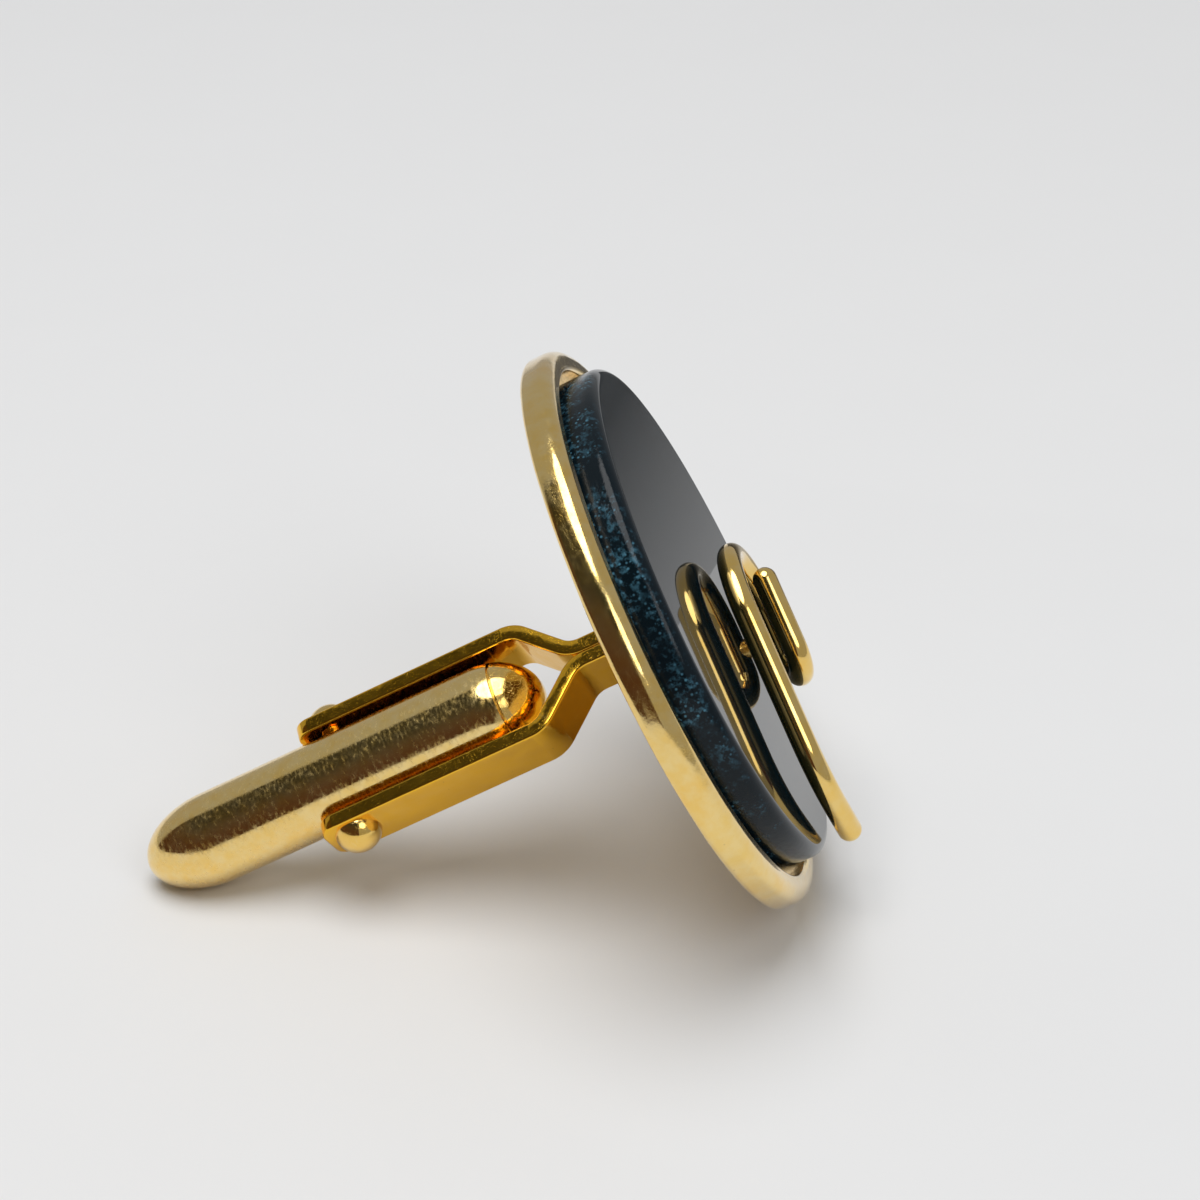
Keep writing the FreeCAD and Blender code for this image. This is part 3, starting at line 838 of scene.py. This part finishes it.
def leg_stations(settings):
    """Places down a leg's middle line, each with its outward way, half thickness and half width."""
    fork = settings.fork
    half_thick = fork.thickness / 2
    half_width = fork.width / 2
    inside = leg_inside(settings)
    out = inside + half_thick
    bend = fork.bend_angle
    radius = fork.bend_radius
    slope = (inside - 2 * radius * (1 - math.cos(bend))) / math.sin(bend)
    flare = 2 * radius * math.sin(bend) + slope * math.cos(bend)
    angles = [bend * step / BEND_STEPS for step in range(BEND_STEPS + 1)]
    inner_bend = Vector((half_thick + radius, 0, -fork.stem))
    outer_bend = Vector((out - radius, 0, -fork.stem - flare))
    ways = [Vector((math.cos(angle), 0, math.sin(angle))) for angle in angles]
    line = [(Vector((half_thick, 0, 0)), ways[0])]
    line += [(inner_bend - way * radius, way) for way in ways]
    line += [(outer_bend + way * radius, way) for way in reversed(ways)]
    stations = [(spot, way, half_thick, half_width) for spot, way in line]
    distances = set()
    for rounding, steps in ((fork.corner, LEG_END_STEPS), (fork.edge_round, LEG_EDGE_STEPS)):
        distances |= {rounding * (1 - math.sin(math.pi / 2 * step / steps)) for step in range(steps + 1)}
    for distance in sorted(distances, reverse=True):
        spot = Vector((out, 0, PIN_LEVEL - fork.end + distance))
        thin = half_thick - rounded_off(distance, fork.edge_round)
        narrow = half_width - rounded_off(distance, fork.corner)
        stations.append((spot, ways[0], thin, narrow))
    return stations


def leg_mesh(settings):
    """One bent strip of the fork on the pin's +X side, its long edges rounded."""
    outlines = []
    for spot, outward, half_thick, half_width in leg_stations(settings):
        corner = min(settings.fork.edge_round, half_thick, half_width)
        box = rounded_box(half_thick, half_width, corner)
        outlines.append([spot + outward * thick + Vector((0, wide, 0)) for thick, wide in box])
    return skin(outlines)


def solder_mesh(fork):
    """A hollow-sided collar of solder where the stem stands on the dish."""
    outlines = []
    for drop, spread in arc((fork.solder, fork.solder), -fork.solder, 0, 90):
        box = rounded_box(fork.thickness + spread, fork.width / 2 + spread, fork.edge_round + spread)
        outlines.append([(x, y, -drop) for x, y in box])
    return skin(outlines)


class CUFFLINK_OT_fork_legs(bpy.types.Operator):
    """Bend the two strips of the forked post, drill them for the pin and solder their foot"""

    bl_idname = "cufflink.fork_legs"
    bl_label = "Fork legs"

    def execute(self, context):
        settings = context.scene.cufflink
        material = gold_material(
            "Strip gold", settings.finish, dull=0.13, waves=1.2, grain=0.04, scratches=0.03, pale=0.08,
            edges=0.2, pits=0.5, relief=0.035, deep=0.36, coat=0.05)
        reach = leg_inside(settings) + 2 * settings.fork.thickness
        hole = settings.pin.diameter / 2 + settings.pin.seat_clearance
        for name, half_turn, side in (("lower_leg", 0.0, 1), ("upper_leg", math.pi, -1)):
            mesh = leg_mesh(settings)
            bmesh.ops.rotate(mesh, verts=mesh.verts, matrix=Matrix.Rotation(half_turn, 3, "Z"))
            piece = piece_from(mesh, "gold_" + name)
            drill(piece, Vector((0, 0, PIN_LEVEL)), Vector((side * reach, 0, PIN_LEVEL)), hole)
            finish_piece(piece, "face", "gold_plate", material, name)
        piece = piece_from(solder_mesh(settings.fork), "post_solder")
        finish_piece(piece, "face", "gold_plate", material)
        return {"FINISHED"}


def pin_mesh(settings):
    """The pin along X: domed heads, a round shaft and a squared middle."""
    pin = settings.pin
    shaft = pin.diameter / 2
    leg_out = leg_inside(settings) + settings.fork.thickness
    bore = settings.toggle.diameter / 2 - settings.toggle.wall
    squared = bore - pin.flats_end
    head = pin.head_diameter / 2
    ball = (head ** 2 + pin.head_height ** 2) / (2 * pin.head_height)
    centre = leg_out + pin.head_height - ball
    opening = math.degrees(math.asin(head / ball))
    rounds = [(squared, shaft), (leg_out, shaft), (leg_out, head)]
    rounds += arc((centre, 0), ball, opening, 0, ROUND_STEPS * 2)
    half = [(squared, shaft, True)] + [(across, size, False) for across, size in rounds]
    rows = [(-across, size, flat) for across, size, flat in reversed(half)] + half
    outlines = []
    for across, size, flat in rows:
        outline = []
        for cosine, sine in ring_ways(size, PIN_STEPS):
            radius = min(size, pin.flats / 2 / max(abs(cosine), abs(sine))) if flat else size
            outline.append((across, radius * cosine, PIN_LEVEL + radius * sine))
        outlines.append(outline)
    return skin(outlines)


class CUFFLINK_OT_pivot_pin(bpy.types.Operator):
    """Rivet the pivot pin through the legs and the toggle"""

    bl_idname = "cufflink.pivot_pin"
    bl_label = "Pivot pin"

    def execute(self, context):
        settings = context.scene.cufflink
        material = gold_material(
            "Pin gold", settings.finish, dull=0.14, waves=0.7, grain=0.06, scratches=0.08, pale=0.35,
            edges=0.5)
        piece = piece_from(pin_mesh(settings), "gold_pivot_pin")
        finish_piece(piece, "face", "gold_plate", material, "pivot_pin")
        return {"FINISHED"}


class CUFFLINK_OT_toggle(bpy.types.Operator):
    """Turn the toggle's hollow body and its domed plug"""

    bl_idname = "cufflink.toggle"
    bl_label = "Bullet toggle"

    def execute(self, context):
        settings = context.scene.cufflink
        toggle = settings.toggle
        radius = toggle.diameter / 2
        bore = radius - toggle.wall
        tip_length = radius * toggle.tip_stretch
        nose_length = radius * toggle.nose_stretch
        nose = PIN_LEVEL + toggle.length / 2
        tip = nose - toggle.length + tip_length
        shoulder = nose - nose_length
        seam = nose - nose_length * toggle.cap

        def seam_angle(height):
            return math.degrees(math.acos((height - shoulder) / nose_length))

        seam_edge = (radius * math.sin(math.radians(seam_angle(seam))) - toggle.seam, seam)
        profile = dome(tip, -tip_length, radius, 0, 90, ROUND_STEPS * 4)
        profile += between((radius, tip), (radius, shoulder), ROUND_STEPS * 3)
        profile += dome(shoulder, nose_length, radius, 90, seam_angle(seam - toggle.seam), ROUND_STEPS)
        profile += [seam_edge, (bore, seam)]
        profile += dome(tip, toggle.wall - tip_length, bore, 90, 0, ROUND_STEPS * 2)
        tube = piece_from(lathe(profile, TUBE_STEPS), "gold_toggle_tube")
        reach = leg_inside(settings)
        hole = settings.pin.diameter / 2 + toggle.pin_clearance
        drill(tube, Vector((-reach, 0, PIN_LEVEL)), Vector((reach, 0, PIN_LEVEL)), hole)
        material = gold_material(
            "Toggle gold", settings.finish, dull=0.30, waves=0.2, grain=0.05, scratches=0.02, pale=0.9,
            smooth=0.035, pits=0.4, mottle=4.0)
        finish_piece(tube, "toggle", "gold_plate", material, "toggle_tube")

        spigot = bore - toggle.spigot_clearance
        profile = dome(shoulder, nose_length, radius, 0, seam_angle(seam + toggle.seam), ROUND_STEPS * 3)
        profile += [seam_edge, (spigot, seam), (spigot, seam - toggle.spigot), (0, seam - toggle.spigot)]
        cap = piece_from(lathe(profile, TUBE_STEPS), "gold_toggle_cap")
        material = gold_material(
            "Cap gold", settings.finish, dull=0.14, waves=0.9, grain=0.08, scratches=0.12, pale=0.5,
            smooth=0.035, relief=0.05, mottle=2.4)
        finish_piece(cap, "toggle", "gold_plate", material, "toggle_cap")
        return {"FINISHED"}


class CUFFLINK_OT_inner_pieces(bpy.types.Operator):
    """Dress the peg, the cement and the spring, which keep the frame's own shapes"""

    bl_idname = "cufflink.inner_pieces"
    bl_label = "Inner pieces"

    def execute(self, context):
        finish = context.scene.cufflink.finish
        materials = {
            "scroll_peg": gold_material(
                "Peg gold", finish, dull=0.18, waves=0.4, grain=0.06, scratches=0.06, pale=0.4,
                smooth=0.06),
            "stone_cement": grained_material(
                "Stone cement", finish.cement, shade=0.6, scale=(5.0, 5.0, 5.0), detail=5.0, grit=0.7,
                smooth=0.6, dull=0.85, relief=0.04, metallic=0.0),
            "detent_spring": grained_material(
                "Spring steel", finish.steel, shade=0.7, scale=(1.2, 18.0, 18.0), detail=3.0, grit=0.5,
                smooth=0.25, dull=0.42, relief=0.01, metallic=1.0),
        }
        for node, material in materials.items():
            data = frame["nodes"][node].data
            data.materials.clear()
            data.materials.append(material)
        return {"FINISHED"}


# The stage

def bearing_way(bearing, elevation=0.0):
    """The way to a bearing and an elevation."""
    level = math.cos(elevation)
    return Vector((math.sin(bearing) * level, math.cos(bearing) * level, math.sin(elevation)))


def wall_mesh(feet, height):
    """An upright sheet over a row of points on the floor."""
    mesh = bmesh.new()
    rows = []
    for foot in feet:
        rows.append((mesh.verts.new(foot), mesh.verts.new(foot + Vector((0, 0, height)))))
    for first, second in zip(rows, rows[1:]):
        mesh.faces.new((first[0], second[0], second[1], first[1]))
    return mesh


def floor_material(stage):
    """Pale matt floor with the faintest tooth."""
    material, tree, surface = new_material("Pale floor")
    tooth = noise_over(tree, millimetre_places(tree), scale=0.15, detail=3.0)
    set_inputs(tree, surface, {
        "Base Color": shaded(tree, tooth, stage.floor, FLOOR_SHADE),
        "Roughness": FLOOR_ROUGHNESS})
    return material


def screen_material(stage):
    """Dark screen: warm brown near the floor, grey higher up."""
    material, tree, surface = new_material("Dark surround")
    rise = ranged(tree, parts_of(tree, own_places(tree))["Z"], SCREEN_FADE_LOW, SCREEN_FADE_HIGH)
    set_inputs(tree, surface, {
        "Base Color": mixed(tree, rise, opaque(stage.screen_low), opaque(stage.screen_high)),
        "Roughness": CLOTH_ROUGHNESS})
    return material


def reflection_shade_material(stage):
    """Black sheet seen only in reflections, for a painted darker reflection on the stone's face; it thins out
    towards the floor.
    """
    material, tree, surface = new_material("Soft flag")
    height = parts_of(tree, own_places(tree))["Z"]
    faded = stage.flag_height * FLAG_FADE
    set_inputs(tree, surface, {
        "Base Color": opaque(FLAG_COLOUR),
        "Roughness": CLOTH_ROUGHNESS,
        "Alpha": ranged(tree, height, 0.0, faded, FLAG_COVER_LOW, FLAG_COVER_HIGH)})
    return material


class CUFFLINK_OT_stage(bpy.types.Operator):
    """Set the floor, the soft light, the dark surround and the camera"""

    bl_idname = "cufflink.stage"
    bl_label = "Stage"

    def execute(self, context):
        scene = context.scene
        stage = scene.cufflink.stage
        scene.view_settings.view_transform = "Standard"
        self.set_floor(stage)
        self.set_light(scene, stage)
        self.set_camera(scene, stage)
        return {"FINISHED"}

    def set_floor(self, stage):
        """A wide floor, a dark curved screen on the camera's side of it and, beside the stone, a dark sheet that
        only reflections see, which paints a darker reflection on the stone's face.
        """
        mesh = bmesh.new()
        bmesh.ops.create_circle(mesh, cap_ends=True, segments=FLOOR_STEPS, radius=FLOOR_RADIUS)
        floor = self.set_object(mesh, "floor", floor_material(stage))

        feet = []
        for step in range(SCREEN_STEPS + 1):
            bearing = stage.screen_start + (stage.screen_end - stage.screen_start) * step / SCREEN_STEPS
            feet.append(bearing_way(bearing) * stage.screen_radius)
        mesh = wall_mesh(feet, stage.screen_height)
        screen = self.set_object(mesh, "dark_surround", screen_material(stage))
        screen.visible_camera = False

        # A dark sheet that the camera, diffuse light and shadows don't see: it only paints darker reflections on
        # the stone's face and the gold
        middle = Vector((*stage.flag_place, 0))
        half = Vector((math.cos(stage.flag_turn), -math.sin(stage.flag_turn), 0)) * stage.flag_width / 2
        mesh = wall_mesh([middle - half, middle + half], stage.flag_height)
        flag = self.set_object(mesh, "soft_flag", reflection_shade_material(stage))
        flag.visible_camera = False
        flag.visible_diffuse = False
        flag.visible_shadow = False

    def set_object(self, mesh, name, material):
        """A new object of the stage."""
        thing = object_from(mesh, name, Matrix())
        thing.data.materials.append(material)
        return thing

    def set_light(self, scene, stage):
        """A large softbox overhead and a fill light at the front right, in a light grey room."""
        overhead = Vector(stage.softbox_place)
        below = Vector((overhead.x, overhead.y, 0))
        oval = (stage.softbox_width, stage.softbox_depth)
        self.set_softbox(scene, "softbox", overhead, below, oval, stage.softbox_power)
        beside = bearing_way(stage.fill_bearing, stage.fill_elevation) * stage.fill_distance
        disc = (stage.fill_size, stage.fill_size)
        self.set_softbox(scene, "fill", beside, Vector(), disc, stage.fill_power)
        world = bpy.data.worlds.new("room")
        world.use_nodes = True
        world.node_tree.nodes["Background"].inputs["Color"].default_value = opaque(stage.room)
        scene.world = world

    def set_softbox(self, scene, name, spot, target, size, watts):
        """An oval area light that shines from one point towards another."""
        lamp = bpy.data.lights.new(name, "AREA")
        lamp.shape = "ELLIPSE"
        lamp.size = size[0]
        lamp.size_y = size[1]
        lamp.energy = watts
        softbox = bpy.data.objects.new(name, lamp)
        softbox.location = spot
        softbox.rotation_euler = (target - spot).to_track_quat("-Z", "Y").to_euler()
        scene.collection.objects.link(softbox)

    def set_camera(self, scene, stage):
        """The camera at the photographed angle."""
        back = bearing_way(math.pi - stage.azimuth, stage.elevation)
        right = bearing_way(math.pi / 2 - stage.azimuth)
        upright = Matrix((right, back.cross(right), back)).transposed()
        matrix = (upright @ Matrix.Rotation(stage.roll, 3, "Z")).to_4x4()
        matrix.translation = stage.eye
        lens = bpy.data.cameras.new("camera")
        lens.lens = stage.lens
        lens.sensor_width = SENSOR_WIDTH
        lens.clip_start = CLIP_START
        lens.clip_end = CLIP_END
        camera = bpy.data.objects.new("camera", lens)
        camera.matrix_world = matrix
        scene.collection.objects.link(camera)
        scene.camera = camera


OPERATORS = (
    CUFFLINK_OT_back_plate,
    CUFFLINK_OT_stone,
    CUFFLINK_OT_scroll,
    CUFFLINK_OT_fork_legs,
    CUFFLINK_OT_pivot_pin,
    CUFFLINK_OT_toggle,
    CUFFLINK_OT_inner_pieces,
    CUFFLINK_OT_stage,
)


class CUFFLINK_PT_panel(bpy.types.Panel):
    """Lists the cufflink's pieces"""

    bl_idname = "CUFFLINK_PT_panel"
    bl_label = "Cufflink"
    bl_space_type = "VIEW_3D"
    bl_region_type = "UI"
    bl_category = "Cufflink"

    def draw(self, context):
        for operator in OPERATORS:
            self.layout.operator(operator.bl_idname)


CLASSES = (
    DishSettings, StoneSettings, ScrollSettings, ForkSettings, PinSettings, ToggleSettings, FinishSettings,
    StageSettings, CufflinkSettings, *OPERATORS, CUFFLINK_PT_panel)


def register():
    """Make the settings, operators and panel known."""
    for kind in CLASSES:
        bpy.utils.register_class(kind)
    bpy.types.Scene.cufflink = PointerProperty(type=CufflinkSettings)


def unregister():
    """Take the settings, operators and panel away again."""
    del bpy.types.Scene.cufflink
    for kind in reversed(CLASSES):
        bpy.utils.unregister_class(kind)


def main():
    """Dress every piece and set the stage."""
    register()
    bpy.ops.cufflink.back_plate()
    bpy.ops.cufflink.stone()
    bpy.ops.cufflink.scroll()
    bpy.ops.cufflink.fork_legs()
    bpy.ops.cufflink.pivot_pin()
    bpy.ops.cufflink.toggle()
    bpy.ops.cufflink.inner_pieces()
    bpy.ops.cufflink.stage()


if __name__ == "__main__":
    main()
